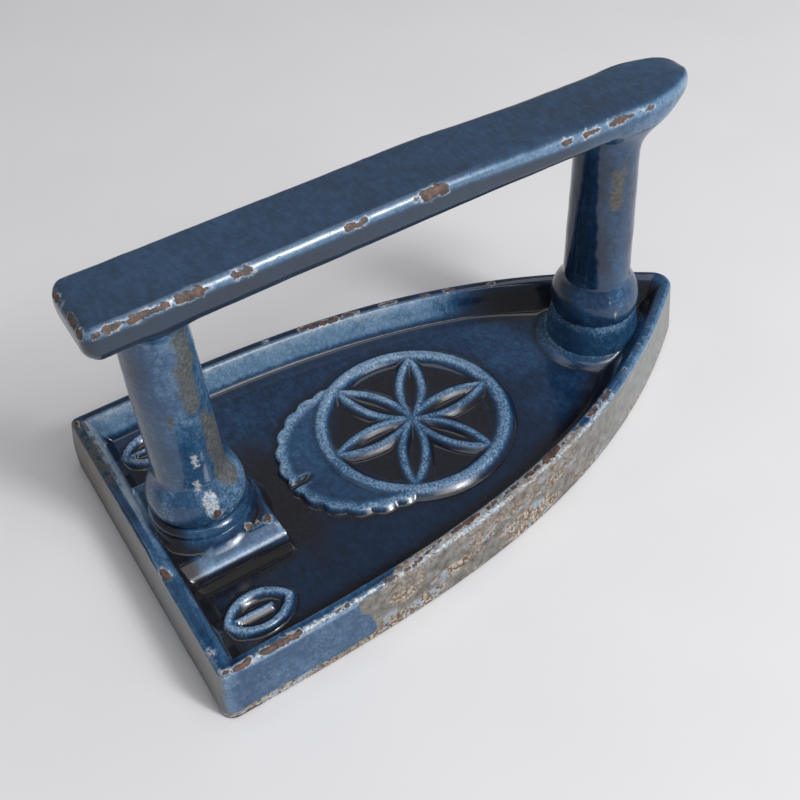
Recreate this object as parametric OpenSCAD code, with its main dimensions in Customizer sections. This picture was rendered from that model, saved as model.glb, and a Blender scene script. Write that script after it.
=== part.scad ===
// Antique enamelled cast-iron flat iron (sad iron), heated on a stove.
// Millimetres. +X points to the nose, +Z up. The origin is on the sole, at mid length and mid width.

/* [Base] */
// Length of the sole from heel to nose
base_length = 165; // [150:1:180]
// Greatest width of the sole, at the heel
base_width = 93.5; // [86:0.5:102]
// Height of the rim above the sole
base_height = 16; // [14.5:0.5:19]
// Height of the deck, which is the floor of the shallow pan
deck_height = 8.5; // [7:0.5:9.5]
// How far the outer wall leans in from sole to rim
side_draft = 1.1; // [0.5:0.1:2]
// Width of the rim's top along the sides
rim_width = 3.2; // [2.5:0.1:4.5]
// Extra width of the rim's top along the heel
heel_rim_extra = 1; // [0:0.1:2]

/* [Bosses] */
// Distance from the heel to the rear post's axis
rear_post_x = 18.4; // [17:0.1:20]
// Distance from the heel to the front post's axis
front_post_x = 137.4; // [132:0.1:139]
// Length of the rectangular pad under the rear post
pad_length = 32; // [31:0.5:34]
// Half the width of the pad at its foot
pad_half_width = 17.5; // [16.5:0.5:19]
// Height of the flat top of the pad
pad_height = 14.6; // [13.5:0.1:15]
// Height of the joint between bosses and posts
joint_height = 20; // [19:0.5:22]
// Radius of both bosses at the joint
boss_top_radius = 11.2; // [10.8:0.1:11.6]
// Radius of both bosses at their foot
boss_foot_radius = 12.8; // [12:0.1:13.5]

/* [Posts] */
// Radius of the rear post above its foot
rear_post_foot_radius = 8.6; // [8:0.1:9]
// Radius of the rear post under the grip
rear_post_top_radius = 7.8; // [7.2:0.1:8]
// Radius of the front post above its foot
front_post_foot_radius = 9; // [8:0.1:9.2]
// Radius of the front post under the grip
front_post_top_radius = 7.8; // [7.1:0.1:8]
// How far the rear post flares out under the grip
rear_post_flare = 1.6; // [1:0.1:2]
// How far the front post flares out under the grip
front_post_flare = 2; // [1:0.1:2]
// Radius of the round bulb at the foot of each post
bulb_radius = 11.7; // [11.2:0.1:12.5]
// Radius of the cored hole through each post
post_core_radius = 4.5; // [3.5:0.1:5]

/* [Grip] */
// Height of the grip's flat top above the sole
grip_top = 85.7; // [80:0.1:92]
// Thickness of the grip
grip_thickness = 9; // [8.5:0.1:10]
// Half the width of the grip at its rear end
grip_rear_half_width = 10.4; // [10:0.1:11.5]
// Half the width of the grip at the front post
grip_front_half_width = 9.9; // [9.8:0.1:11]
// Distance from the heel to the grip's rear end
grip_rear_x = 3; // [1:0.5:5]
// Distance from the heel to the tip of the grip's nose
grip_front_x = 159.5; // [157:0.5:162]
// Length of the grip's half-elliptic nose
grip_nose_length = 19; // [14:0.5:20]

/* [Fixings] */
// Radius of the studs that hold each post down
stud_radius = 3; // [2.5:0.1:3.2]
// Radius of the cross pins that lock the grip
pin_radius = 1.25; // [1:0.05:1.5]
// Depth of the spigots at the ends of each post
spigot_depth = 2.5; // [2:0.1:3]
// Radial gap in every joint between two pieces
joint_gap = 0.04; // [0.02:0.01:0.1]

/* [Ornament] */
// Distance from the heel to the centre of the medallion
medallion_x = 78; // [74:0.5:82]
// Outer radius of the medallion's ring
medallion_radius = 26.8; // [24:0.1:28]
// Width of the medallion's ring
medallion_band = 5.4; // [4:0.1:6]
// Width of the ridges that draw the rosette
rosette_ridge = 2.2; // [1.6:0.1:3]
// Height of the raised ornament above the deck
ornament_height = 1.6; // [1:0.1:2]

/* [Hidden] */

enamel_dark = "#1d3a66";
enamel_mid = "#27507f";
enamel_grip = "#3d5f86";
steel = "#8a8d90";

heel_x = -base_length / 2;
rear_x = heel_x + rear_post_x;
front_x = heel_x + front_post_x;
grip_under = grip_top - grip_thickness;
pin_height = grip_under + grip_thickness / 2;
stud_bottom = 5;
stud_top = grip_top - 2.5;
stud_hole_radius = stud_radius + joint_gap;
pin_hole_radius = pin_radius + joint_gap;
foot_spigot_radius = 6.6;
head_spigot_radius = 6;
spigot_play = 0.3;      // how much shorter a spigot is than its socket
pin_inset_rear = 0.25;  // how far the pins' ends stay under the enamel
pin_inset_front = 0.15;
side_power = 3.05;      // how suddenly the sides turn in towards the nose
side_close = 0.932;     // share of the half width that has gone at the nose
nose_start = 0.987;     // share of the length where the nose arc starts
corner_radius = 3.2;
corner_shrink = 0.35;   // how fast the heel corners tighten as the outline is set in
least_radius = 0.8;     // of the nose arc in the deepest outlines
heel_extra_draft = 0.4; // the heel's wall leans in this much more than the sides
bulb_rise = 3.2;        // height of the bulb's widest place above the joint
bulb_up = 9.5;          // half height of the bulb's ellipse above that place
bulb_down = 6.2;        // and below it
bulb_length = 9.5;      // from the joint to where the bulb has run into the shank
plate_offset = 15;      // from the medallion's centre back to the plate's
plate_radius = 23;
leaf_x = 17.6;          // centre of a corner leaf, from the heel
leaf_y = 30.2;          // and from the middle
thread_pitch = 1.25;
thread_depth = 0.6;
eps = 0.02;

// Half width of the sole at a share t of the side curve's length, and the slope of that curve.
function half_width(t) = base_width / 2 * (1 - side_close * pow(t, side_power));
function lean(t, len) = base_width / 2 * side_close * side_power * pow(t, side_power - 1) / len;
function nose_angle(len) = atan(lean(nose_start, len));
function nose_reach(len) =
    half_width(nose_start) / cos(nose_angle(len)) * (1 - sin(nose_angle(len)));
// Length of the side curve, so that the rounded nose ends at base_length.
side_length = (base_length - nose_reach(base_length)) / nose_start;
nose_lean = nose_angle(side_length);
nose_half = half_width(nose_start);

// Where the nose arc starts for an outline set in by d, which keeps a small arc in the deep ones.
function nose_share(d) =
    let (end_half = max(nose_half - d / cos(nose_lean), least_radius) + d / cos(nose_lean))
    pow((1 - 2 * end_half / base_width) / side_close, 1 / side_power);

// The right half of the outline set in by d at the sides and by heel_d at the heel, from heel to nose.
function right_half(d, heel_d) =
    let (x0 = heel_d,
         share = nose_share(d),
         r = max(corner_radius - d * corner_shrink, corner_radius / 2),
         y0 = half_width(0) - d,
         sides = 16,
         nose_r = max(nose_half - d / cos(nose_lean), least_radius) / cos(nose_lean),
         nose_x = share * side_length - nose_r * sin(nose_lean))
    concat(
        [for (a = [90 : -22.5 : 0]) [x0 + r - r * sin(a), r - r * cos(a) - y0]],
        [for (i = [1 : sides])
            let (x = x0 + r + (share * side_length - x0 - r) * sin(90 * i / sides),
                 t = x / side_length)
            [x, d * sqrt(1 + pow(lean(t, side_length), 2)) - half_width(t)]],
        [for (a = [0.75 : -0.25 : 0]) [nose_x + nose_r * cos(a * (90 - nose_lean)),
                                       -nose_r * sin(a * (90 - nose_lean))]]
    );

function outline(d, heel_d) =
    let (right = right_half(d, heel_d), n = len(right))
    concat([for (p = right) [heel_x + p[0], p[1]]],
           [for (i = [n - 2 : -1 : 0]) [heel_x + right[i][0], -right[i][1]]]);

// A closed solid through a list of rings [height, side inset, heel inset].
module lofted(rings) {
    n = len(outline(0, 0));
    points = [for (ring = rings) for (p = outline(ring[1], ring[2])) [p[0], p[1], ring[0]]];
    last = n * (len(rings) - 1);
    faces = concat(
        [[for (i = [0 : n - 1]) i]],
        [for (k = [0 : len(rings) - 2]) for (i = [0 : n - 1])
            let (a = k * n + i, b = k * n + (i + 1) % n) [b, a, a + n]],
        [for (k = [0 : len(rings) - 2]) for (i = [0 : n - 1])
            let (a = k * n + i, b = k * n + (i + 1) % n) [b, a + n, b + n]],
        [[for (i = [n - 1 : -1 : 0]) last + i]]
    );
    polyhedron(points, faces);
}

// The hollow of the pan. From the deck it goes out to the rim through a fillet, given as pairs of
// height and distance in from the rim's inner edge.
module pan() {
    rim_in = side_draft + rim_width;
    heel_in = rim_in + heel_rim_extra;
    rim_chamfer = 0.5;
    fillet = [
        [deck_height, 4.6],
        [deck_height + 0.8, 2.6],
        [deck_height + 2.6, 1.5],
        [base_height - rim_chamfer, 0],
        [base_height + eps, -rim_chamfer]
    ];
    lofted([for (step = fillet) [step[0], rim_in + step[1], heel_in + step[1]]]);
}

module base_shell() {
    edge = 1;
    foot_chamfer = 0.7;
    top_chamfer = 0.8;
    heel_draft = side_draft + heel_extra_draft;
    difference() {
        lofted([
            [0, foot_chamfer, foot_chamfer],
            [foot_chamfer, 0, 0],
            [base_height - edge, side_draft, heel_draft],
            [base_height, side_draft + top_chamfer, heel_draft + top_chamfer]
        ]);
        pan();
    }
}

// The pad that carries the rear post, with bevelled long edges.
module rear_pad() {
    bevel = 4;
    wall_height = 3.2;
    front_lean = 1.2;
    sunk = 1;
    wall_x = heel_x + side_draft + 2;
    length = heel_x + pad_length - wall_x;
    hull() {
        translate([wall_x, -pad_half_width, deck_height - sunk])
            cube([length, 2 * pad_half_width, wall_height + sunk]);
        translate([wall_x, bevel - pad_half_width, deck_height - sunk])
            cube([length - front_lean, 2 * (pad_half_width - bevel), pad_height - deck_height + sunk]);
    }
}

module boss(x, foot) {
    sunk = 0.5;
    translate([x, 0, foot - sunk])
        cylinder(h = sunk, r = boss_foot_radius, $fn = 64);
    translate([x, 0, foot])
        cylinder(h = joint_height - foot, r1 = boss_foot_radius, r2 = boss_top_radius, $fn = 64);
}

module medallion_ring() {
    middle = medallion_radius - medallion_band / 2;
    crown = medallion_band * 0.28;
    rotate_extrude($fn = 96)
        polygon([
            [medallion_radius - medallion_band, -1],
            [middle - crown, ornament_height],
            [middle + crown, ornament_height],
            [medallion_radius, -1]
        ]);
}

// Six petals drawn with a compass: arcs of the ring's own radius struck from points on it.
module rosette() {
    overlap = 0.8;
    sunk = 1;
    ridge_height = ornament_height - 0.2;
    reach = medallion_radius - medallion_band + overlap;
    intersection() {
        translate([0, 0, -sunk])
            cylinder(h = ridge_height + sunk, r = reach, $fn = 96);
        union()
            for (i = [0 : 5])
                rotate(60 * i)
                    translate([reach, 0, -sunk])
                        difference() {
                            cylinder(h = 2 * ornament_height, r = reach + rosette_ridge / 2, $fn = 96);
                            translate([0, 0, -sunk])
                                cylinder(h = 3 * ornament_height, r = reach - rosette_ridge / 2, $fn = 96);
                        }
    }
}

// The plain rounded plate that shows behind the ring, towards the heel.
module back_plate() {
    plate_height = 0.75 * ornament_height;
    sunk = 1;
    difference() {
        translate([-plate_offset, 0, -sunk])
            cylinder(h = plate_height + sunk, r = plate_radius, $fn = 96);
        translate([0, 0, -2 * sunk])
            cylinder(h = plate_height + 3 * sunk, r = medallion_radius - medallion_band / 2, $fn = 96);
    }
}

module medallion() {
    translate([heel_x + medallion_x, 0, deck_height]) {
        medallion_ring();
        rosette();
        back_plate();
    }
}

// A pointed oval: what two equal discs share.
module pointed_oval(length, width, height) {
    radius = (pow(length, 2) + pow(width, 2)) / (4 * width);
    intersection_for (side = [-1, 1])
        translate([0, side * (radius - width / 2), 0])
            cylinder(h = height, r = radius, $fn = 96);
}

// A plain leaf in outline with a midrib, one in each heel corner of the deck.
module corner_leaf(side) {
    leaf_length = 18;
    leaf_width = 12;
    band = 2;
    rib_width = 1.6;
    rib_length = 11;
    rib_height = ornament_height - 0.3;
    sunk = 1;
    translate([heel_x + leaf_x, side * leaf_y, deck_height - sunk]) {
        difference() {
            pointed_oval(leaf_length, leaf_width, ornament_height + sunk);
            translate([0, 0, sunk / 2])
                pointed_oval(leaf_length - 3 * band, leaf_width - 2 * band, ornament_height + sunk);
        }
        translate([-leaf_length / 2 + band, -rib_width / 2, 0])
            cube([rib_length, rib_width, rib_height + sunk]);
    }
}

module socket(x) {
    translate([x, 0, joint_height - spigot_depth])
        cylinder(h = spigot_depth + 1, r = foot_spigot_radius + joint_gap, $fn = 64);
    translate([x, 0, stud_bottom])
        cylinder(h = joint_height, r = stud_hole_radius, $fn = 48);
}

module base_casting() {
    color(enamel_dark)
    difference() {
        union() {
            base_shell();
            rear_pad();
            boss(rear_x, pad_height);
            boss(front_x, deck_height);
            medallion();
            corner_leaf(-1);
            corner_leaf(1);
        }
        socket(rear_x);
        socket(front_x);
    }
}

// Radius of the bulb at height z: one ellipse above its widest place and another below it.
function bulb_r(z) =
    let (widest = joint_height + bulb_rise, half = z > widest ? bulb_up : bulb_down)
    bulb_radius * sqrt(1 - pow((z - widest) / half, 2));

function post_r(z, foot_r, top_r) =
    let (share = (z - joint_height) / (grip_under - joint_height))
    foot_r + (top_r - foot_r) * share;

// A hollow post turned about its own axis: spigot, bulb, tapered shank, flare and upper spigot.
module post(foot_r, top_r, flare) {
    bottom = joint_height + joint_gap / 2;
    top = grip_under - joint_gap / 2;
    bulb_steps = 10;
    bulb_end = joint_height + bulb_length;
    flare_steps = 5;
    spigot = spigot_depth - spigot_play;
    bulb = [for (i = [0 : bulb_steps])
        let (z = bottom + (bulb_end - bottom) * i / bulb_steps)
        [max(bulb_r(z), post_r(z, foot_r, top_r)), z]];
    flared = [for (i = [0 : flare_steps])
        let (a = 90 * i / flare_steps)
        [post_r(top - flare, foot_r, top_r) + flare * (1 - cos(a)), top - flare * (1 - sin(a))]];
    rotate_extrude($fn = 72)
        polygon(concat(
            [[post_core_radius, bottom - spigot],
             [foot_spigot_radius, bottom - spigot],
             [foot_spigot_radius, bottom]],
            bulb, flared,
            [[head_spigot_radius, top],
             [head_spigot_radius, top + spigot],
             [post_core_radius, top + spigot]]
        ));
}

module rear_post() {
    color(enamel_mid)
    translate([rear_x, 0, 0])
        post(rear_post_foot_radius, rear_post_top_radius, rear_post_flare);
}

module front_post() {
    color(enamel_mid)
    translate([front_x, 0, 0])
        post(front_post_foot_radius, front_post_top_radius, front_post_flare);
}

// A disc with rounded rims, from which the grip is wrapped.
module rounded_disc(radius, height, edge) {
    rotate_extrude($fn = 32)
        polygon(concat(
            [[0, 0]],
            [for (a = [0 : 22.5 : 90]) [radius - edge + edge * sin(a), edge - edge * cos(a)]],
            [for (a = [0 : 22.5 : 90]) [radius - edge + edge * cos(a), height - edge + edge * sin(a)]],
            [[0, height]]
        ));
}

// The grip has square rear corners and a half-elliptic nose whose underside sweeps up to the tip.
module grip_body() {
    edge = 3;
    rear_corner = 4.5;
    nose_sweep = 2.8;
    focus_2 = pow(grip_nose_length, 2) - pow(grip_front_half_width, 2);
    reach = focus_2 / grip_nose_length;
    hull() {
        for (side = [-1, 1])
            translate([heel_x + grip_rear_x + rear_corner,
                       side * (grip_rear_half_width - rear_corner), grip_under])
                rounded_disc(rear_corner, grip_thickness, edge);
        for (share = [0 : 0.25 : 1])
            translate([heel_x + grip_front_x - grip_nose_length + reach * share, 0,
                       grip_under + nose_sweep * pow(share, 2)])
                rounded_disc(grip_front_half_width * sqrt(1 - pow(reach * share, 2) / focus_2),
                             grip_thickness - nose_sweep * pow(share, 2), edge);
    }
}

module grip_socket(x) {
    translate([x, 0, grip_under - 1])
        cylinder(h = spigot_depth + 1, r = head_spigot_radius + joint_gap, $fn = 64);
    translate([x, 0, grip_under])
        cylinder(h = stud_top + joint_gap - grip_under, r = stud_hole_radius, $fn = 48);
    translate([x, 0, pin_height])
        rotate([90, 0, 0])
            cylinder(h = 40, r = pin_hole_radius, center = true, $fn = 32);
}

module grip_bar() {
    color(enamel_grip)
    difference() {
        grip_body();
        grip_socket(rear_x);
        grip_socket(front_x);
    }
}

// A stud with a threaded foot, drawn as rings, and a plain cross-drilled head.
module stud(x) {
    root = stud_radius - thread_depth;
    turns = 9;
    chamfer = 0.5;
    thread = [for (i = [0 : turns - 1]) for (p = [[root, 0], [stud_radius, 0.5]])
        [p[0], stud_bottom + thread_depth + thread_pitch * (i + p[1])]];
    color(steel)
    translate([x, 0, 0])
        difference() {
            rotate_extrude($fn = 48)
                polygon(concat(
                    [[0, stud_bottom + joint_gap], [root, stud_bottom + joint_gap]],
                    thread,
                    [[stud_radius, stud_top - chamfer], [stud_radius - chamfer, stud_top], [0, stud_top]]
                ));
            translate([0, 0, pin_height])
                rotate([90, 0, 0])
                    cylinder(h = 20, r = pin_hole_radius, center = true, $fn = 32);
        }
}

module rear_stud() {
    stud(rear_x);
}

module front_stud() {
    stud(front_x);
}

module grip_pin(x, half_length) {
    color(steel)
    translate([x, 0, pin_height])
        rotate([90, 0, 0])
            cylinder(h = 2 * half_length, r = pin_radius, center = true, $fn = 32);
}

module rear_grip_pin() {
    grip_pin(rear_x, grip_rear_half_width - pin_inset_rear);
}

module front_grip_pin() {
    grip_pin(front_x, grip_front_half_width - pin_inset_front);
}

base_casting();
rear_post();
front_post();
grip_bar();
rear_stud();
front_stud();
rear_grip_pin();
front_grip_pin();
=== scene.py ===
"""The looks of an antique flat iron in blue enamel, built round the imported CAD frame."""
import math
from types import SimpleNamespace

import bpy
import numpy as np
from mathutils import Matrix, Vector


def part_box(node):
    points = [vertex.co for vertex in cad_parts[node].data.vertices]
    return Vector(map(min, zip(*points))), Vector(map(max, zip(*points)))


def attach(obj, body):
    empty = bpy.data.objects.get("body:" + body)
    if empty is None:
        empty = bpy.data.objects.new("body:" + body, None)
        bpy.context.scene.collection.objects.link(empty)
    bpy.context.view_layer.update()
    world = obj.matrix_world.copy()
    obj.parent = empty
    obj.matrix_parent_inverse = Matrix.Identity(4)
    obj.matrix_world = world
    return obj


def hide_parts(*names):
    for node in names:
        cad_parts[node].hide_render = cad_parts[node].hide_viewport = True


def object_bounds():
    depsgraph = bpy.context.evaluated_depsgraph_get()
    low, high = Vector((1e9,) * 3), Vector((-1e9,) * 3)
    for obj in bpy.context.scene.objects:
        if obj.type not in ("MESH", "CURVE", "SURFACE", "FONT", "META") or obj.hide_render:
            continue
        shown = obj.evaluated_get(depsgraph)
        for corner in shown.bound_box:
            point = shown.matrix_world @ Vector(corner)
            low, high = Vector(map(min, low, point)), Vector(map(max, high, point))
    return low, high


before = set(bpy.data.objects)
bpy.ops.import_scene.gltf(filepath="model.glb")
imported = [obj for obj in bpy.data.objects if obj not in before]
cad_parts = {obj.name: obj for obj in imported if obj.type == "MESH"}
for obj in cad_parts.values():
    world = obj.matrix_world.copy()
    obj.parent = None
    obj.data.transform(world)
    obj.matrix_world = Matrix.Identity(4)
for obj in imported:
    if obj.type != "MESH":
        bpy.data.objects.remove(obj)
cad_lo, cad_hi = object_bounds()

MM = 0.001
BODY = "root"

# ---------------------------------------------------------------- places, from the frame (mm)


def box_mm(node):
    lo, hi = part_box(node)
    return np.array(lo) / MM, np.array(hi) / MM


base_lo, base_hi = box_mm("base_casting")
rear_lo, rear_hi = box_mm("rear_post")
front_lo, front_hi = box_mm("front_post")
grip_lo, grip_hi = box_mm("grip_bar")

HEEL = base_lo[0]
LENGTH = base_hi[0] - base_lo[0]
WIDTH = base_hi[1] - base_lo[1]
JOINT = base_hi[2]
REAR_X = (rear_lo[0] + rear_hi[0]) / 2
FRONT_X = (front_lo[0] + front_hi[0]) / 2
GRIP_TOP = grip_hi[2]
GRIP_UNDER = grip_lo[2]
GRIP_MIDDLE = (GRIP_TOP + GRIP_UNDER) / 2
GRIP_REAR = grip_lo[0]
GRIP_TIP = grip_hi[0]
GRIP_HALF = grip_hi[1]

# The casting's own sizes. Its walls lean out by DRAFT, and the heel's by HEEL_DRAFT more and in a bow.
RIM_TOP = 16.0
DECK = 8.5
DRAFT = 1.1
HEEL_DRAFT = 0.4
HEEL_BOW = 0.45
HEEL_EXTRA = 1.4
EDGE_ROUND = 1.0
FOOT_ROUND = 0.8
MEDALLION = np.array([HEEL + 78.0, 0.0])
RING_MIDDLE, RING_HALF = 24.1, 2.7
PLATE_BACK, PLATE_RADIUS = 15.0, 23.3
PAD_TOP = 14.7
PAD_FRONT = HEEL + 32.0
PAD_HALF = 17.6
BOSS_RADIUS = 12.8
GRIP_FRONT_HALF = 9.9
REAR_TURN = 3.4
TOP_ROUND, FRONT_TOP_ROUND, LOW_ROUND = 2.2, 4.0, 3.8
NOSE_LENGTH = 19.0
# Where each post runs into the grip: (axis, radius, fillet width to the nose, at the sides, to the heel).
REAR_BLEND = (REAR_X, 7.8, 5.5, 3.5, 2.0)
FRONT_BLEND = (FRONT_X, 7.8, 10.0, 6.0, 2.0)

# ---------------------------------------------------------------- small numeric tools


def smooth(t):
    t = np.clip(t, 0.0, 1.0)
    return t * t * (3.0 - 2.0 * t)


def lattice_noise(points, size, seed):
    """Smooth noise from -1 to 1 at each 3D point; size is the width of its features."""
    table = np.random.default_rng(seed).random(4096) * 2.0 - 1.0
    p = np.asarray(points, float) / size
    cell = np.floor(p).astype(np.int64)
    f = p - cell
    f = f * f * (3.0 - 2.0 * f)
    total = np.zeros(len(p))
    for dx in (0, 1):
        for dy in (0, 1):
            for dz in (0, 1):
                key = (cell[:, 0] + dx) * 73856093
                key ^= (cell[:, 1] + dy) * 19349663
                key ^= (cell[:, 2] + dz) * 83492791
                weight = (
                    np.where(dx, f[:, 0], 1 - f[:, 0])
                    * np.where(dy, f[:, 1], 1 - f[:, 1])
                    * np.where(dz, f[:, 2], 1 - f[:, 2])
                )
                total += weight * table[key & 4095]
    return total


def fractal(points, size, seed, octaves=3):
    """Noise from -1 to 1 with finer and fainter noise on it."""
    total, norm, gain, scale = 0.0, 0.0, 1.0, size
    for k in range(octaves):
        total = total + gain * lattice_noise(points, scale, seed + k)
        norm += gain
        gain *= 0.5
        scale *= 0.5
    return total / norm


def curve_through(xs, ys, blur):
    """A smooth curve through a few points: linear between them, then rounded over a width of blur."""
    fine = np.linspace(xs[0] - 4 * blur, xs[-1] + 4 * blur, 2000)
    y = np.interp(fine, xs, ys)
    step = fine[1] - fine[0]
    k = np.arange(-int(3 * blur / step), int(3 * blur / step) + 1) * step
    kernel = np.exp(-0.5 * (k / blur) ** 2)
    kernel /= kernel.sum()
    pad = len(k) // 2
    y = np.convolve(np.pad(y, pad, mode="edge"), kernel, mode="valid")
    return lambda x: np.interp(x, fine, y)


# ---------------------------------------------------------------- mesh helpers


def in_scene(name, data):
    """A new object that holds this mesh, light or camera, linked into the scene."""
    obj = bpy.data.objects.new(name, data)
    bpy.context.scene.collection.objects.link(obj)
    return obj


def new_object(name, verts_mm, faces, node=None, slot=None, sharp_deg=None):
    """A smooth-shaded mesh object from points in millimetres, riding on the iron's one body."""
    mesh = bpy.data.meshes.new(name)
    points = np.asarray(verts_mm, float) * MM
    mesh.from_pydata(points.tolist(), [], [tuple(map(int, face)) for face in faces])
    mesh.validate()
    mesh.polygons.foreach_set("use_smooth", [True] * len(mesh.polygons))
    if sharp_deg:
        mesh.set_sharp_from_angle(angle=math.radians(sharp_deg))
    mesh.update()
    obj = in_scene(name, mesh)
    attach(obj, BODY)
    if node:
        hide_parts(node)
    return obj


def mesh_arrays(mesh):
    """Points in mm, their normals, and the edges of a mesh."""

    def read(items, key, width, kind):
        values = np.empty(len(items) * width, kind)
        items.foreach_get(key, values)
        return values.reshape(-1, width)

    verts = read(mesh.vertices, "co", 3, np.float32) / MM
    normals = read(mesh.vertices, "normal", 3, np.float32)
    return verts, normals, read(mesh.edges, "vertices", 2, np.int32)


# What the enamel material reads at each point, wear and painted light and shade alike, and its value where
# nothing is stored.
WEAR = {"tone": 0.3, "pool": 0, "frost": 0.25, "chip": -9, "wear": 0, "bare": 0, "rusty": 0,
        "olive": -9, "umber": 0, "crack": 9, "scab": -9}


def store_wear(mesh, **values):
    """Stores the wear and painted-light values of each point; those left out take their plain value."""
    for name, plain in WEAR.items():
        attribute = mesh.attributes.new(name, "FLOAT", "POINT")
        filled = np.zeros(len(mesh.vertices)) + values.get(name, plain)
        attribute.data.foreach_set("value", filled.astype(np.float32))


def convexity(verts, normals, edges, rounds):
    """How far each point stands out (+) or lies in (-) from its surroundings, in mm."""
    count = np.zeros(len(verts))
    np.add.at(count, edges[:, 0], 1)
    np.add.at(count, edges[:, 1], 1)
    flat = verts.astype(float).copy()
    for _ in range(rounds):
        total = np.zeros_like(flat)
        for axis in range(3):
            total[:, axis] = np.bincount(edges[:, 0], flat[edges[:, 1], axis], len(flat))
            total[:, axis] += np.bincount(edges[:, 1], flat[edges[:, 0], axis], len(flat))
        flat = 0.5 * flat + 0.5 * total / np.maximum(count, 1)[:, None]
    return np.einsum("ij,ij->i", verts - flat, normals)


# ---------------------------------------------------------------- outline of the base

SIDE_POWER = 3.05
SIDE_CLOSE = 0.932
NOSE_START = 0.987
CORNER = 3.2
TIP_HALF_ANGLE = math.radians(28)


def half_width(t):
    return WIDTH / 2 * (1 - SIDE_CLOSE * t**SIDE_POWER)


def side_slope(t, length):
    return WIDTH / 2 * SIDE_CLOSE * SIDE_POWER * t ** (SIDE_POWER - 1) / length


def side_length():
    """The side curve's own length, so that the rounded nose ends at the base's length."""
    angle = math.atan(side_slope(NOSE_START, LENGTH))
    reach = half_width(NOSE_START) / math.cos(angle) * (1 - math.sin(angle))
    return (LENGTH - reach) / NOSE_START


def right_outline():
    """Points and outward normals of the sole's right half, from the heel's corner to the nose's tip."""
    length = side_length()
    y0 = half_width(0)
    points, normals = [], []
    for a in np.radians(np.linspace(0, 90, 9)):
        points.append((CORNER * (1 - math.cos(a)), -(y0 - CORNER + CORNER * math.sin(a))))
        normals.append((-math.cos(a), -math.sin(a)))
    fore = NOSE_START * length
    steps = np.concatenate([
        np.arange(CORNER + 0.3, 12.0, 0.32),
        np.arange(12.0, fore - 14.0, 0.42),
        fore - 14.0 * (1 - np.linspace(0, 1, 40) ** 0.8),
    ])
    for x in steps:
        t = x / length
        slope = side_slope(t, length)
        points.append((x, -half_width(t)))
        n = np.array([slope, -1.0])
        normals.append(tuple(n / np.linalg.norm(n)))
    angle = math.atan(side_slope(NOSE_START, length))
    radius = half_width(NOSE_START) / math.cos(angle)
    centre = fore - radius * math.sin(angle)
    for a in np.linspace(math.pi / 2 - angle, TIP_HALF_ANGLE, 10)[1:]:
        points.append((centre + radius * math.cos(a), -radius * math.sin(a)))
        normals.append((math.cos(a), -math.sin(a)))
    points = np.array(points)
    points[:, 0] += HEEL
    return points, np.array(normals), HEEL + centre


def closed_ring(right):
    """A right half and its mirror image as one ring of points."""
    return np.vstack([right, (right * [1, -1])[::-1][1:]])


def outline_ring():
    """The sole's outline as one closed ring of points."""
    return closed_ring(right_outline()[0])


def distance_inside(points, ring):
    """Distance from each 2D point to a closed ring of points, positive inside it (the ring is convex)."""
    a, b = ring, np.roll(ring, -1, axis=0)
    d = b - a
    length = np.hypot(d[:, 0], d[:, 1])
    keep = length > 1e-9
    a, d, length = a[keep], d[keep], length[keep]
    inward = np.stack([-d[:, 1], d[:, 0]], 1) / length[:, None]
    out = np.empty(len(points))
    for k in range(0, len(points), 4000):
        p = points[k:k + 4000]
        rel = p[:, None, :] - a[None]
        t = np.clip((rel * d).sum(2) / (length**2), 0, 1)
        near = np.hypot(rel[..., 0] - t * d[:, 0], rel[..., 1] - t * d[:, 1]).min(1)
        sign = np.where(((rel * inward).sum(2)).min(1) >= 0, 1.0, -1.0)
        out[k:k + 4000] = near * sign
    return out


# ---------------------------------------------------------------- relief on the deck


def medallion_height(p):
    """Ring, six-petal rosette and the scalloped plate behind them, in mm above the deck."""
    q = p - MEDALLION
    r = np.hypot(q[:, 0], q[:, 1])
    ring = 1.55 * smooth((RING_HALF + 0.9 - np.abs(r - RING_MIDDLE)) / 3.2)
    reach = RING_MIDDLE - RING_HALF + 0.8
    petals = np.zeros(len(p))
    for k in range(6):
        turn = math.radians(60 * k)
        off = np.abs(np.hypot(q[:, 0] - reach * math.cos(turn), q[:, 1] - reach * math.sin(turn)) - reach)
        petals = np.maximum(petals, smooth((2.7 - off) / 2.6))
    petals *= 1.3 * smooth((RING_MIDDLE - r) / 1.5)
    turn = np.arctan2(q[:, 1], q[:, 0] + PLATE_BACK)
    plate_r = np.hypot(q[:, 0] + PLATE_BACK, q[:, 1])
    scallop = 0.9 * np.abs(np.sin(turn * 11))
    plate = smooth((PLATE_RADIUS - 0.6 + scallop - plate_r) / 1.5)
    plate *= 1.0 + 0.4 * smooth((plate_r - 18.5) / 2.5)
    groove = smooth((0.8 - np.abs(turn + 3.02) * plate_r * 0.5) / 0.7) * smooth((plate_r - 15.0) / 4.0)
    plate *= smooth((r - RING_MIDDLE) / 1.0) * (1 - 0.75 * groove)
    return np.maximum(np.maximum(ring, petals), plate)


def leaf_height(p, side):
    """A plain leaf in outline with a midrib, in one heel corner of the deck."""
    length, width, band = 18.5, 12.0, 2.4
    q = p - np.array([HEEL + 17.4, side * 30.4])
    radius = (length**2 + width**2) / (4 * width)
    lift = radius - width / 2
    inside = radius - np.maximum(np.hypot(q[:, 0], q[:, 1] - lift), np.hypot(q[:, 0], q[:, 1] + lift))
    outline = smooth((band / 2 + 0.7 - np.abs(inside - band / 2)) / 1.5)
    rib = smooth((1.3 - np.abs(q[:, 1])) / 1.3) * smooth((4.2 - q[:, 0]) / 0.9)
    rib *= smooth((inside - 0.2) / 0.6)
    return 1.5 * np.maximum(outline, 0.9 * rib)


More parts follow.
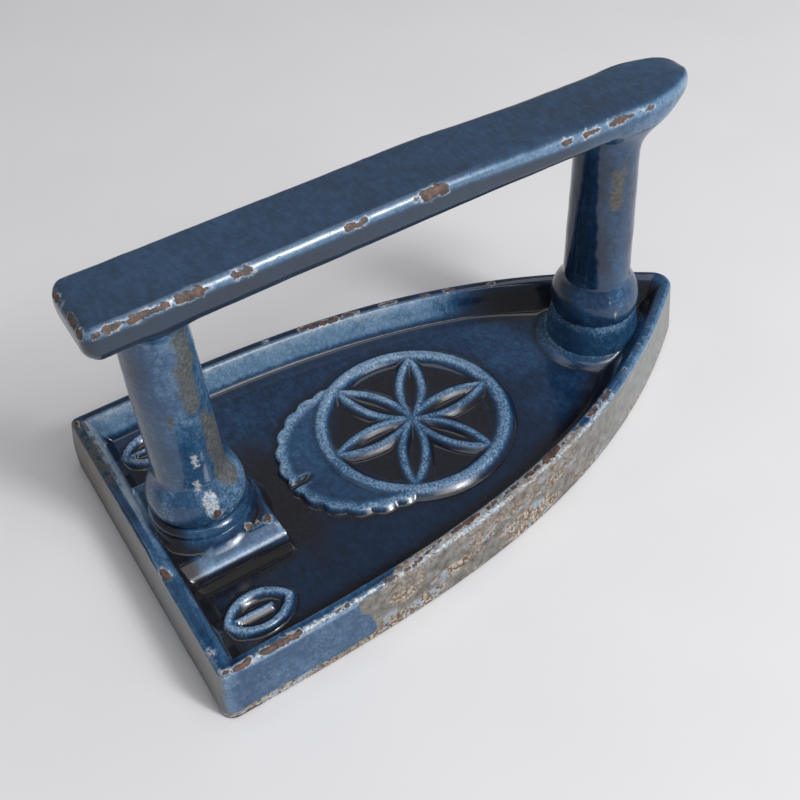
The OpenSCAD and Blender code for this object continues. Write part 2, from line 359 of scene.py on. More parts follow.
def pad_height(p):
    """The rectangular pad under the rear post: flat top, bevelled long sides, steep front."""
    top = PAD_TOP
    side = curve_through(
        [-9, -4.3, -0.3, 0.3, 0.9, 1.4, 3],
        [top, top, 12.8, 12.1, 9.6, DECK - 0.6, DECK - 6],
        0.36,
    )
    fore = curve_through(
        [-6, -0.9, 0.0, 0.9, 1.4, 3],
        [top, top, 13.9, 9.8, DECK - 0.4, DECK - 4],
        0.26,
    )
    return np.minimum(side(np.abs(p[:, 1]) - PAD_HALF), fore(p[:, 0] - PAD_FRONT))


def soft_max(a, b, width):
    """The larger of two heights, with a fillet of about this width where they cross."""
    h = np.clip(0.5 + 0.5 * (a - b) / width, 0, 1)
    return b + (a - b) * h + width * h * (1 - h)


def top_height(p, ring_inner):
    """Height of the casting's upper surface at each 2D point."""
    s = distance_inside(p, ring_inner)
    rim = curve_through(
        [0, 3.75, 4.45, 4.85, 6.0, 7.2, 8.0, 10.5],
        [RIM_TOP, RIM_TOP, 15.5, 14.6, 11.2, 9.1, DECK - 0.2, DECK - 2.2],
        0.42,
    )
    nose_rim = curve_through(
        [0, 3.0, 4.6, 6.2, 7.8, 9.4, 11.0],
        [RIM_TOP, RIM_TOP, 15.2, 13.0, 10.4, DECK + 0.3, DECK - 0.6],
        0.7,
    )
    softer = smooth((p[:, 0] - HEEL - 112) / 22)
    p3 = np.column_stack([p, np.zeros(len(p))])
    deck = DECK + 0.16 * fractal(p3, 26.0, 11, 2)
    relief = np.maximum(medallion_height(p), np.maximum(leaf_height(p, -1), leaf_height(p, 1)))
    z = deck + relief
    z = soft_max(pad_height(p), z, 0.12)
    for x, foot in ((REAR_X, PAD_TOP), (FRONT_X, DECK)):
        r = np.hypot(p[:, 0] - x, p[:, 1])
        skirt = 1.0 if foot == DECK else 0.0
        fillet = curve_through([10, 12.2, 12.9 + 0.5 * skirt, 14.0 + 2.0 * skirt, 19],
                               [3.4, 3.0, 1.0, 0.0, -12], 0.3 + 0.3 * skirt)
        z = soft_max(foot + fillet(r), z, 0.6 + 0.6 * skirt)
    return soft_max(rim(s) * (1 - softer) + nose_rim(s) * softer, z, 0.5 + 0.5 * softer)


def top_columns(border, tip_centre):
    """Rows of points across the casting, one for each border point; the last bends round the nose."""
    by_rim = np.arange(0, 9.6, 0.3)
    middle_rows = 108
    columns = []
    for x, y in border:
        half = abs(y)
        steps = by_rim * min(1.0, half / (by_rim[-1] * 1.35))
        inner = np.linspace(steps[-1], 2 * half - steps[-1], middle_rows + 1)[1:-1]
        across = np.concatenate([steps, inner, 2 * half - steps[::-1]]) - half
        columns.append(np.column_stack([np.full(len(across), x), across]))
    tip_radius = math.hypot(border[-1][0] - tip_centre, border[-1][1])
    columns[-1][:, 0] = tip_centre + np.sqrt(tip_radius**2 - columns[-1][:, 1] ** 2)
    return columns, tip_radius


def wall_profile():
    """From the rim's top to the sole: (offset outward, height, share of the way down the wall)."""
    wall_top, wall_rows = RIM_TOP - EDGE_ROUND, 30
    profile = []
    for a in np.radians([22, 45, 68, 90]):
        profile.append((EDGE_ROUND * math.sin(a), RIM_TOP - EDGE_ROUND * (1 - math.cos(a)), 0.0))
    for k in range(1, wall_rows + 1):
        share = k / wall_rows
        profile.append((EDGE_ROUND, wall_top - (wall_top - FOOT_ROUND) * share, share))
    for a in np.radians([30, 60, 90]):
        profile.append((EDGE_ROUND - FOOT_ROUND * (1 - math.cos(a)), FOOT_ROUND * (1 - math.sin(a)), 1.0))
    return profile


def sole_faces(ring, columns, rows):
    """The flat sole, in strips from side to side, with one face along the heel and one at the nose."""
    right, nose, left, heel = np.split(ring, np.cumsum([columns, rows - 2, columns]))
    left = left[::-1]
    faces = [(right[k], left[k], left[k + 1], right[k + 1]) for k in range(columns - 1)]
    faces.append((left[0], right[0], *heel[::-1]))
    faces.append((right[-1], left[-1], *nose[::-1]))
    return faces


def base_mesh():
    """The casting's skin: its top as a grid, rings of points down the wall, and the sole."""
    right, normals, tip_centre = right_outline()
    inner = right.copy()
    inner[:, 0] += HEEL_EXTRA * smooth(1 - (right[:, 0] - HEEL) / 14.0)
    draft = DRAFT + HEEL_DRAFT * np.clip(-normals[:, 0], 0, 1)
    grid, tip_radius = top_columns(right - normals * (draft + EDGE_ROUND)[:, None], tip_centre)
    columns, rows = len(grid), len(grid[0])
    plan = np.vstack(grid)
    top = np.column_stack([plan, top_height(plan, closed_ring(inner))])
    index = np.arange(columns * rows).reshape(columns, rows)
    corners = (index[:-1, :-1], index[1:, :-1], index[1:, 1:], index[:-1, 1:])
    faces = list(zip(*(corner.ravel() for corner in corners)))

    # the border of that grid, and the way that each of its points faces
    loop = np.concatenate([index[:, 0], index[-1, 1:-1], index[::-1, -1], index[0, -2:0:-1]])
    nose = (grid[-1][1:-1] - [tip_centre, 0]) / tip_radius
    heel = np.tile([-1.0, 0.0], (rows - 2, 1))
    outward = np.vstack([normals, nose, (normals * [1, -1])[::-1], heel])
    heelish = np.clip(-outward[:, 0], 0, 1)

    parts, ring = [top], loop
    for out, z, share in wall_profile():
        out = out + (DRAFT + HEEL_DRAFT * heelish) * share
        shift = out + HEEL_BOW * heelish * math.sin(math.pi * share)
        start = sum(len(part) for part in parts)
        parts.append(np.column_stack([top[loop, :2] + outward * shift[:, None], np.full(len(loop), z)]))
        below = np.arange(start, start + len(loop))
        faces.extend(zip(ring, below, np.roll(below, -1), np.roll(ring, -1)))
        ring = below
    return np.vstack(parts), faces + sole_faces(ring, columns, rows)


def lathe(profile, x, segments=128):
    """A closed solid turned about a vertical axis at x; profile runs from the axis, up, and back to it."""
    profile = np.asarray(profile, float)
    angles = np.linspace(0, 2 * math.pi, segments, endpoint=False)
    inner = profile[1:-1]
    verts = [np.array([[x, 0, profile[0, 1]]])]
    for r, z in inner:
        verts.append(np.column_stack([x + r * np.cos(angles), r * np.sin(angles), np.full(segments, z)]))
    verts.append(np.array([[x, 0, profile[-1, 1]]]))
    verts = np.vstack(verts)
    last = 1 + (len(inner) - 1) * segments
    faces = [(0, 1 + (k + 1) % segments, 1 + k) for k in range(segments)]
    faces.extend(tuple(1 + i for i in face) for face in tube_faces(len(inner), segments))
    faces.extend((last + k, last + (k + 1) % segments, len(verts) - 1) for k in range(segments))
    return verts, faces


def boss_profile(foot, ringed):
    """A cast boss up to the joint with its post, as a plain skirt or with a half-round ring at its top."""
    span = JOINT - foot
    start = [(0, foot - 0.5), (BOSS_RADIUS, foot - 0.5)]
    if ringed:
        ring_z, ring_r = JOINT - 2.0, 1.9
        wall = [(BOSS_RADIUS, foot + 0.2), (BOSS_RADIUS - 1.2, foot + 0.9)]
        for a in np.radians(np.linspace(-75, 82, 14)):
            wall.append((BOSS_RADIUS - 2.4 + ring_r * math.cos(a), ring_z + ring_r * math.sin(a)))
    else:
        wall = []
        for z in np.linspace(foot + 0.5, JOINT - 0.1, 22):
            wall.append((BOSS_RADIUS - 0.2 - 1.4 * ((z - foot) / span) ** 1.8, z))
    return start + wall + [(0, JOINT - 0.04)]


def smooth_union(a, b, width):
    """Signed distance to two solids joined by a fillet of about this width."""
    h = np.clip(width - np.abs(a - b), 0, None) / np.maximum(width, 1e-6)
    return np.minimum(a, b) - h * h * width / 4


def grip_section(x):
    """Half width, top and underside of the grip at each x."""
    sweep_length, crown_length, level = 13.5, 7.5, GRIP_MIDDLE + 0.6
    x = np.asarray(x, float)
    share = np.clip((x - GRIP_REAR) / (FRONT_X - GRIP_REAR), 0, 1)
    half = GRIP_HALF + (GRIP_FRONT_HALF - GRIP_HALF) * share
    nose = np.clip((x - (GRIP_TIP - NOSE_LENGTH)) / NOSE_LENGTH, 0, 1)
    half = half * np.sqrt(1 - nose**2)
    crown = np.clip((x - (GRIP_TIP - crown_length)) / crown_length, 0, 1)
    droop = 0.7 * smooth((x - GRIP_REAR - 85) / 60)
    top = level + (GRIP_TOP - droop - level) * np.sqrt(1 - crown**2)
    sweep = np.clip((x - (GRIP_TIP - sweep_length)) / sweep_length, 0, 1)
    under = level - (level - GRIP_UNDER) * np.sqrt(1 - sweep**2)
    inset = REAR_TURN * (1 - np.sqrt(1 - np.clip((GRIP_REAR + REAR_TURN - x) / REAR_TURN, 0, 1) ** 2))
    return half - inset, top - 0.85 * inset, under + 0.85 * inset


def grip_sway(x):
    """How far the grip's middle line strays to the far side at each x."""
    return -0.35 * smooth((x - FRONT_X + 50) / 40) + 0.85 * smooth((x - GRIP_TIP + 22) / 22)


def distance_to_grip(x, y, z):
    """Distance from each point to the bar grip, negative inside it."""
    half, top, under = grip_section(x)
    across = np.abs(y - grip_sway(x)) - (half - LOW_ROUND)
    upright = np.abs(z - (top + under) / 2) - ((top - under) / 2 - LOW_ROUND)
    outside = np.hypot(np.clip(across, 0, None), np.clip(upright, 0, None))
    return outside + np.minimum(np.maximum(across, upright), 0) - LOW_ROUND


def post_mesh(foot_r, blend, bulb_down, groove, overrun, seed):
    """A cast post with a bulb at its foot, running into the grip through a fillet."""
    x, top_r = blend[:2]
    segments = 160
    angles = np.linspace(0, 2 * math.pi, segments, endpoint=False)
    cos, sin = np.cos(angles), np.sin(angles)
    bottom, end = JOINT + 0.02, GRIP_UNDER + 2.6
    zs = np.concatenate([np.arange(bottom, JOINT + 12, 0.28), np.arange(JOINT + 12, end, 0.45), [end]])
    widest, bulb_r, bulb_up = JOINT + 3.2, 11.75, 10.5
    width = blend_width(cos, blend)
    reach = np.linspace(4.0, 13.5, 400)
    verts = []
    for z in zs:
        share = min((z - JOINT) / (GRIP_UNDER - JOINT), 1.0)
        shank = foot_r + (top_r - foot_r) * share
        bulb = bulb_r * math.sqrt(max(1 - ((z - widest) / (bulb_up if z > widest else bulb_down)) ** 2, 0))
        radius = np.full(segments, float(soft_max(np.array(bulb), np.array(shank), 1.6)))
        ring = np.column_stack([x + radius * cos, radius * sin, np.full(segments, z)])
        radius += 0.13 * fractal(ring, 9.0, seed, 2) + 0.06 * fractal(ring, 2.6, seed + 9, 2)
        radius -= groove * smooth((bottom + 0.7 - z) / 0.7)
        if z > GRIP_UNDER - 11:
            px, py = x + reach[:, None] * cos, reach[:, None] * sin
            gap = smooth_union(reach[:, None] - radius, distance_to_grip(px, py, z), width)
            solid = gap < 0
            last = solid.shape[0] - 1 - np.argmax(solid[::-1], axis=0)
            last = np.minimum(last, len(reach) - 2)
            columns = np.arange(segments)
            low, high = gap[last, columns], gap[last + 1, columns]
            edge = reach[last] + (reach[1] - reach[0]) * np.clip(low / np.minimum(low - high, -1e-9), 0, 1)
            buried = np.where(distance_to_grip(px, py, z) < -0.25, reach[:, None], 0).max(axis=0)
            free = smooth((cos + 0.95) / 0.25) * overrun
            buried = np.where(buried > 0, buried + (reach[-1] - buried) * free, reach[-1])
            sunk = 0.08 * smooth((z - GRIP_UNDER + 3.0) / 2.0) + 0.35 * smooth((z - GRIP_UNDER - 0.5) / 2.1)
            radius = np.minimum(np.maximum(radius, edge - sunk), buried)
        verts.append(np.column_stack([x + radius * cos, radius * sin, np.full(segments, z)]))
    verts = np.vstack(verts)
    rings = len(zs)
    faces = tube_faces(rings, segments)
    faces.append(tuple(range(segments))[::-1])
    faces.append(tuple(range((rings - 1) * segments, rings * segments)))
    return verts, faces


def tube_faces(rings, around):
    """Quads between rings of points, facing outward when the rings climb."""
    faces = []
    for ring in range(rings - 1):
        low, high = ring * around, (ring + 1) * around
        for k in range(around):
            n = (k + 1) % around
            faces.append((low + k, low + n, high + n, high + k))
    return faces


def rounded_section(half, top, under, top_round, around):
    """Points evenly round a rectangle with smaller corner radii above than below."""
    thick = max(top - under, 0.05)
    half = max(half, 0.05)
    limit = min(half * 0.98, thick * 0.49)
    radius_top, radius_low = min(top_round, limit), min(LOW_ROUND, limit)
    section = []
    for quarter, (sy, sz, radius) in enumerate(((1, 1, radius_top), (-1, 1, radius_top),
                                                (-1, -1, radius_low), (1, -1, radius_low))):
        cy = sy * (half - radius)
        cz = top - radius if sz > 0 else under + radius
        for a in np.radians(np.linspace(0, 90, 14) + 90 * quarter):
            section.append((cy + radius * math.cos(a), cz + radius * math.sin(a)))
    section = np.array(section + section[:1])
    along = np.concatenate([[0], np.cumsum(np.hypot(*np.diff(section, axis=0).T))])
    even = np.linspace(0, along[-1], around, endpoint=False)
    return np.interp(even, along, section[:, 0]), np.interp(even, along, section[:, 1])


def blend_width(cos, blend):
    """Width of the fillet between a post and the grip at each direction round the post."""
    fore, side, back = blend[2:]
    return back + (side - back) * smooth(1 + cos) + (fore - side) * smooth(cos)


def swell_to_posts(verts):
    """Moves the grip's lower surface out to where it runs into each post."""
    x, y, z = verts.T
    step, most = 0.05, 4.0
    slope = np.column_stack([
        distance_to_grip(x + step, y, z) - distance_to_grip(x - step, y, z),
        distance_to_grip(x, y + step, z) - distance_to_grip(x, y - step, z),
        distance_to_grip(x, y, z + step) - distance_to_grip(x, y, z - step),
    ])
    slope /= np.maximum(np.linalg.norm(slope, axis=1), 1e-6)[:, None]
    start = distance_to_grip(x, y, z)
    for blend in (REAR_BLEND, FRONT_BLEND):
        post_x, radius = blend[:2]
        near = np.hypot(verts[:, 0] - post_x, verts[:, 1]) < radius + blend[2]
        near &= verts[:, 2] < GRIP_TOP - 1
        out = np.zeros(near.sum())
        for _ in range(6):
            p = verts[near] + slope[near] * out[:, None]
            away = np.hypot(p[:, 0] - post_x, p[:, 1])
            over = p[:, 2] - (GRIP_UNDER + 2.5)
            beside = np.hypot(np.clip(away - radius, 0, None), np.clip(over, 0, None))
            beside += np.minimum(np.maximum(away - radius, over), 0)
            width = blend_width((p[:, 0] - post_x) / np.maximum(away, 1e-6), blend)
            gap = smooth_union(beside, distance_to_grip(*p.T) - start[near], width)
            out += np.clip(-gap, 0, 1)
        out = most * (1 - np.exp(-out / most)) * smooth((away - radius + 3.5) / 3.0)
        verts[near] += slope[near] * out[:, None]


def grip_mesh():
    """The bar grip: a rounded slab with a squared rear end and an elliptic nose that sweeps up beneath."""
    turn = np.linspace(0, math.pi / 2, 16)
    xs = np.concatenate([
        GRIP_REAR + REAR_TURN * (1 - np.cos(turn)),
        np.arange(GRIP_REAR + REAR_TURN + 0.5, GRIP_TIP - NOSE_LENGTH, 0.5),
        GRIP_TIP - NOSE_LENGTH + NOSE_LENGTH * np.sin(np.linspace(0, math.pi / 2, 56)),
    ])
    around = 120
    half, top, under = grip_section(xs)
    verts = []
    for x, h, t, u in zip(xs, half, top, under):
        top_round = TOP_ROUND + (FRONT_TOP_ROUND - TOP_ROUND) * smooth((x - GRIP_REAR - 80) / 35)
        ys, zs = rounded_section(h, t, u, float(top_round), around)
        verts.append(np.column_stack([np.full(around, x), ys, zs]))
    verts = np.vstack(verts)
    middle = np.array([0, 0, GRIP_MIDDLE])
    outward = (verts - middle) * [0, 1, 1]
    outward /= np.maximum(np.linalg.norm(outward, axis=1), 1e-6)[:, None]
    dent = -np.abs(0.22 * fractal(verts, 17.0, 31, 2)) - np.abs(0.10 * fractal(verts, 5.0, 37, 2))
    verts += outward * dent[:, None]
    verts[:, 1] += grip_sway(verts[:, 0])
    swell_to_posts(verts)
    faces = [face[::-1] for face in tube_faces(len(xs), around)]
    faces.append(tuple(range(around)))
    faces.append(tuple(range((len(xs) - 1) * around, len(xs) * around))[::-1])
    return verts, [face[::-1] for face in faces]


# ---------------------------------------------------------------- where the enamel is worn, and where light and shade are painted on it

# Chips along an edge: (start, end, radius) in mm from the named end of that edge.
GRIP_NEAR_CHIPS = (
    (2.5, 5.5, 0.5), (6.5, 9.5, 0.4), (10.5, 13.0, 0.9), (14.0, 17.5, 0.5), (20.5, 24.5, 1.0),
    (25.5, 26.5, 0.2), (32.0, 36.0, 0.7), (58.0, 62.0, 0.5), (73.5, 75.0, 0.2), (76.5, 81.0, 1.3),
    (112.5, 114.5, 0.5), (119.0, 123.0, 0.4), (126.0, 130.5, 0.7), (131.5, 135.0, 0.4), (137.0, 138.5, 0.2),
)
GRIP_FAR_CHIPS = ((30.0, 33.0, 0.2), (64.0, 66.0, 0.3), (97.0, 99.0, 0.2))
NEAR_RIM_CHIPS = (
    (3.0, 9.0, 0.5), (12.0, 21.0, 0.6), (30.0, 33.0, 0.3), (43.0, 60.0, 0.3), (63.0, 71.0, 0.5),
    (74.0, 84.0, 0.4), (87.0, 91.0, 0.6), (94.0, 98.5, 0.9), (101.0, 103.0, 0.3), (112.0, 115.0, 0.7),
    (118.5, 121.0, 0.8), (129.0, 130.0, 0.2), (138.0, 139.0, 0.1),
)
FAR_RIM_CHIPS = (
    (57.0, 58.0, 0.2), (68.0, 78.0, 0.7), (81.0, 83.5, 0.7), (91.0, 95.0, 0.4), (103.0, 104.0, 0.3),
    (110.0, 111.5, 0.2), (121.0, 122.0, 0.1),
)
HEEL_RIM_CHIPS = ((31.5, 33.5, 1.0), (7.5, 8.5, 0.5), (88.0, 90.0, 0.4))
GRIP_END_CHIPS = ((2.0, 4.5, 1.0), (-7.0, -3.0, 0.6), (6.5, 7.5, 0.8))
# Chips at the pad's near front corner: (x, y, radius) from that corner in mm.
PAD_CHIPS = ((-1.9, 5.6, 1.1), (-4.6, 5.6, 0.3), (-6.8, 5.4, 0.7), (-0.7, 3.2, 0.15))
# Marks on a post: (angle round it in degrees, lower and upper height in mm, half width in mm).
REAR_OLIVE = (
    (-62, 66, 73, 2.4), (-72, 55, 66, 2.2), (-56, 44, 50, 1.6), (-46, 30, 45, 3.2), (-112, 52, 54, 0.6),
)
REAR_CHIPS = ((-88, 23.6, 24.2, 1.0),)
# the rear post's pale crust, partly painted glints
REAR_CRUST = (
    (-94, 38, 41, 1.2), (-100, 31.0, 33.0, 1.3), (-92, 25.5, 28.0, 2.4), (-112, 50, 51, 0.4),
    (-134, 50, 51, 0.3), (-112, 46.5, 47.0, 0.3), (-70, 20.8, 22.0, 1.0),
)
FRONT_OLIVE = ((-108, 57, 66, 1.5), (-98, 66, 69, 0.5), (-70, 58, 64, 0.5))
FRONT_CHIPS = ()
FRONT_CRUST = ((-103, 36, 42, 0.1), (-108, 27, 29, 0.5), (-101, 22.5, 24.5, 0.7), (-92, 29, 30, 0.1))
# How deep inside such a mark the scab itself begins.
CRUST_DEPTH = 0.75


def along_edge(along, off, chips):
    """Signed distance into the nearest chip on an edge: positive inside it, in mm."""
    value = np.full(len(along), -9.0)
    for start, end, radius in chips:
        beyond = np.maximum(np.maximum(start - along, along - end), 0)
        value = np.maximum(value, radius - np.hypot(beyond, off))
    return value


def near_or_far(near, along, off, near_chips, far_chips):
    """The chips of an edge's near side, and of its far side beyond the middle."""
    return np.where(near > 0.5, along_edge(along, off, near_chips), along_edge(along, off, far_chips))


def round_post(verts, x, marks):
    """Signed distance into the nearest mark on a post: positive inside it, in mm."""
    angle = np.arctan2(verts[:, 1], verts[:, 0] - x)
    radius = np.hypot(verts[:, 1], verts[:, 0] - x)
    value = np.full(len(verts), -9.0)
    for degrees, low, high, half in marks:
        turn = np.abs((angle - math.radians(degrees) + math.pi) % (2 * math.pi) - math.pi) * radius
        beyond = np.maximum(np.maximum(low - verts[:, 2], verts[:, 2] - high), 0)
        value = np.maximum(value, half - np.hypot(turn, beyond))
    return value


def survey_base(mesh):
    """What the base's wear goes by: each point's place, its turn and its distance from edges and bosses."""
    v, n, edges = mesh_arrays(mesh)
    x, y, height = v.T
    s = SimpleNamespace(v=v, n=n, y=y, height=height, along=x - HEEL, across=y + WIDTH / 2)
    s.fine = convexity(v, n, edges, 8)
    s.broad = convexity(v, n, edges, 60)
    s.inset = distance_inside(v[:, :2], outline_ring())
    s.near = smooth(0.5 - y / 16)
    s.far = 1 - s.near
    s.wall = smooth((0.45 - n[:, 2]) / 0.3) * smooth((2.6 - s.inset) / 0.6)
    s.heel_wall = s.wall * smooth((-0.6 - n[:, 0]) / 0.2)
    s.from_medallion = np.hypot(x - MEDALLION[0], y)
    s.from_front_post = np.hypot(x - FRONT_X, y)
    s.lift = np.clip((height - DECK - 0.2) / 1.5, 0, 1) * (s.inset > 8.5)
    s.lift *= (height < 11) & (np.hypot(x - REAR_X, y) > 15) & (s.from_front_post > 17)
    s.on_boss = smooth((15.5 - s.from_front_post) / 2.0)
    s.off_middle = np.abs(s.across - WIDTH / 2)
    s.low_corner = np.hypot(s.along - 2.0, s.across - 2.0)
    s.from_sole_edge = np.hypot(np.clip(height - 0.6, 0, None), np.clip(s.inset - 0.8, 0, None))
    return s


def base_tone(s):
    """How thin, and so how pale, the enamel is: pale on the relief, the far facet and the worn edges, with
    painted reflection on the far facet, the pad's bevels, the deck toward the nose and the nose rim's outer
    part.
    """
    facet = smooth((s.inset - 3.6) / 0.6) * smooth((7.6 - s.inset) / 1.4)
    rim_top = smooth((4.4 - s.inset) / 0.5) * (s.height > 14.5)
    tone = 0.20 + 0.08 * fractal(s.v, 24.0, 3, 2) + 0.08 * s.far * smooth((s.inset - 7) / 8)
    tone += 0.37 * smooth(s.lift) + 0.14 * np.clip(s.fine / 0.12, -0.3, 1)
    # far facet: thin pale enamel with a painted reflection on it
    tone += (0.52 * s.far + 0.10 * s.near) * facet * smooth((120 - s.along) / 20)
    tone += 0.30 * s.wall * s.near + 0.20 * rim_top * s.near * smooth((s.along - 5) / 6)
    heel_rim = smooth((6.5 - s.along) / 3) * (s.height > 11) * (1 - s.heel_wall)
    tone += (0.16 + 0.16 * fractal(s.v, 6.0, 29, 3)) * heel_rim
    # painted highlight on the outer part of the nose rim
    tone += 0.10 * smooth((s.along - 118) / 18) * smooth((4.5 - s.inset) / 2.0)
    # painted reflection on the deck toward the nose
    tone += 0.08 * smooth((s.along - 100) / 12) * smooth((s.inset - 9) / 4) * (s.height < 11)
    tone += (0.20 + 0.10 * fractal(s.v, 5.0, 41, 3)) * s.on_boss
    by_pad = (s.along < 33) & (s.inset > 6)
    # the pad's bevels are paler: a painted reflection
    bevel = smooth((0.95 - s.n[:, 2]) / 0.1) * smooth((s.n[:, 2] - 0.6) / 0.1)
    tone += 0.40 * bevel * by_pad * (s.height > 11) * (s.off_middle > 13)
    return tone + 0.10 * smooth((PAD_HALF - 10 - s.off_middle) / -2) * (s.height > 13) * by_pad


def base_pools(s):
    """Where the glaze is dark: thick in the hollows, on the rosette's ground, before the pad and inside the
    nose rim; painted shade with painted dark reflection along the near rim's fillet, and painted shade on
    the pad's steep sides.
    """
    hollow = np.clip(-s.broad / 0.5, 0, 1) * 0.8
    hollow *= 1 - s.far * smooth((10.5 - s.inset) / 1.0) * smooth((125 - s.along) / 10)
    disc = 0.78 * smooth((RING_MIDDLE - RING_HALF + 0.6 - s.from_medallion) / 3.0)
    disc *= 1 - smooth(s.lift * 1.5)
    from_pad = np.hypot((s.along - 37) / 8.0, (s.y + 2) / 22.0)
    by_pad = 0.85 * smooth((1.5 - from_pad) / 1.1) * (s.height < 10) * (1 - s.lift)
    # painted shade with painted dark reflection in the fillet inside the near rim
    near_rim = 0.9 * smooth((s.inset - 4.6) / 1.6) * smooth((13.0 - s.inset) / 5.0)
    near_rim *= s.near * (1 - s.lift)
    nose = 0.8 * smooth((s.along - 108) / 16) * smooth((15.0 - s.inset) / 6.0)
    nose *= smooth((s.inset - 4.2) / 1.5)
    # painted shade on the pad's steep sides below its bevels
    pad_side = smooth((0.62 - s.n[:, 2]) / 0.15) * smooth((21 - s.off_middle) / 1.0)
    pad_side *= (s.height < 12.6) & (s.height > DECK) & (s.along < 36) & (s.inset > 6)
    pool = np.maximum.reduce([hollow, disc, by_pad, near_rim, nose, pad_side])
    return np.clip(pool * (1 - 0.85 * s.on_boss), 0, 1)


def off_the_heel(s):
    """Added to a distance from a side's rim, so that the marks of that rim stay off the heel's."""
    return np.where(WIDTH / 2 - np.abs(s.y) > 8, 99 * smooth((8 - s.along) / 4), 0)


def base_chips(s):
    """The chips along the rims, at the pad's corner and along the sole's near heel corner."""
    edge = s.inset - 1.7 - 1.3 * smooth((s.along - 50) / 10)
    off = np.hypot(edge, s.height - RIM_TOP + 0.2) + off_the_heel(s)
    chip = near_or_far(s.near, s.along, off, NEAR_RIM_CHIPS, FAR_RIM_CHIPS)
    heel_off = np.hypot(s.along - 2.6, s.height - RIM_TOP + 0.2)
    chip = np.maximum(chip, along_edge(s.across, heel_off, HEEL_RIM_CHIPS))
    for x, y, radius in PAD_CHIPS:
        corner = np.hypot(s.v[:, 0] - PAD_FRONT - x, s.y + PAD_HALF - y)
        chip = np.maximum(chip, np.where(s.height > 12, radius - corner, -9))
    return np.maximum(chip, np.where(s.low_corner < 7, 0.5 - s.from_sole_edge, -9))


def base_edge_wear(s):
    """How worn the edges are: the rim's outer edge most, and the foot of the wall."""
    edge = np.clip(s.fine / 0.16, 0, 1) * (s.inset < 5.5)
    outer = smooth((3.2 - s.inset) / 1.0)
    side = 0.40 + s.near * (0.10 + 0.20 * outer + 0.2 * smooth((s.along - 38) / 15))
    side = side * smooth((s.along - 3) / 3) * (1 - 0.5 * smooth((s.along - 112) / 12))
    low = smooth((2.6 - s.height) / 2.0) * (0.6 + 0.3 * s.near) * (1 - 0.6 * s.heel_wall)
    return np.maximum(edge * side, low)


def base_bare(s):
    """(bare, rusty): where the walls and the near rim have lost their enamel, and how rusty they are."""
    ragged = 7.0 * fractal(s.v, 9.0, 19, 3)
    far_bare = 0.55 * smooth((s.along + ragged - 60) / 30)
    bare = s.wall * (far_bare + s.near * (smooth((s.along + ragged - 34) / 8) - far_bare))
    worn_top = smooth((4.4 - s.inset) / 0.7) * s.near * 0.66
    worn_top *= smooth((s.along - 36) / 12) * smooth((118 - s.along) / 14)
    crust = smooth((2.9 - s.height + 0.12 * ragged) / 0.9) * s.near * 0.8 * (1 - s.heel_wall)
    rusty = smooth((s.along - 36) / 10) * smooth((112 - s.along) / 14)
    rusty *= 0.45 + 0.55 * smooth((12.5 - s.height) / 5)
    rusty = np.maximum(rusty * s.near + 0.35 * s.far, 1.2 * crust)
    return np.maximum.reduce([bare, worn_top, crust]), rusty


def base_cracks(s):
    """Distance to the crack inside the heel's rim and to the painted shade line at the pad's foot."""
    from_crack = np.abs(s.y - 2)
    crack = (s.along - 1.9 + 0.35 * fractal(s.v, 5.0, 77, 2)) * (1 + 2.0 * smooth((from_crack - 8) / 8))
    crack = np.where((s.height > 14) & (from_crack < 16), crack, 9.0)
    # painted shade: a dark line along the pad's foot
    pad_foot = np.clip(np.abs(np.abs(s.y) - PAD_HALF - 1.25) - 0.45, 0, None)
    by_pad = (s.along > 4) & (s.along < 32.6) & (s.height < 11) & (s.inset > 6)
    return np.where(by_pad, pad_foot, crack)


def base_scabs(s):
    """The pale flaking band along the near rim's outer edge, partly a painted highlight line, and at the
    sole's near heel corner.
    """
    outer_edge = np.hypot(s.inset - 1.5, s.height - RIM_TOP + 0.3) + 9 * (1 - s.near) + off_the_heel(s)
    scab = 0.45 - outer_edge + 0.7 * fractal(s.v, 10.0, 91, 3)
    scab = np.where((s.along > 5) & (s.along < 122), scab, -9)
    at_corner = (s.low_corner < 18) & (s.near > 0.5)
    return np.maximum(scab, np.where(at_corner, 1.0 - s.from_sole_edge, -9))


def wear_base(obj):
    """Stores how pale, pooled, chipped, stained and bare the enamel is over the base, with the painted
    light and shade that ride in these values.
    """
    s = survey_base(obj.data)
    bare, rusty = base_bare(s)
    band = smooth((2.2 - np.abs(s.from_medallion - 27.6)) / 1.2) * smooth((s.y - 10) / 5)
    heel_stain = 0.75 * smooth((6.0 - s.along) / 1.5) * smooth((s.y - 4) / 16)
    store_wear(
        obj.data,
        tone=base_tone(s),
        pool=base_pools(s),
        frost=0.22 + 0.65 * smooth(s.lift * 1.5) + 0.5 * smooth((18 - s.from_front_post) / 2.5),
        chip=base_chips(s),
        wear=base_edge_wear(s),
        bare=bare,
        rusty=rusty,
        olive=np.maximum(2.0 * band, 4.2 * heel_stain) - 3.0,
        # the heel wall's burnt stain; its colour also carries painted shade and sheen
        umber=s.heel_wall * (0.8 + 0.4 * fractal(s.v, 6.0, 23, 3)),
        crack=base_cracks(s),
        scab=base_scabs(s),
    )


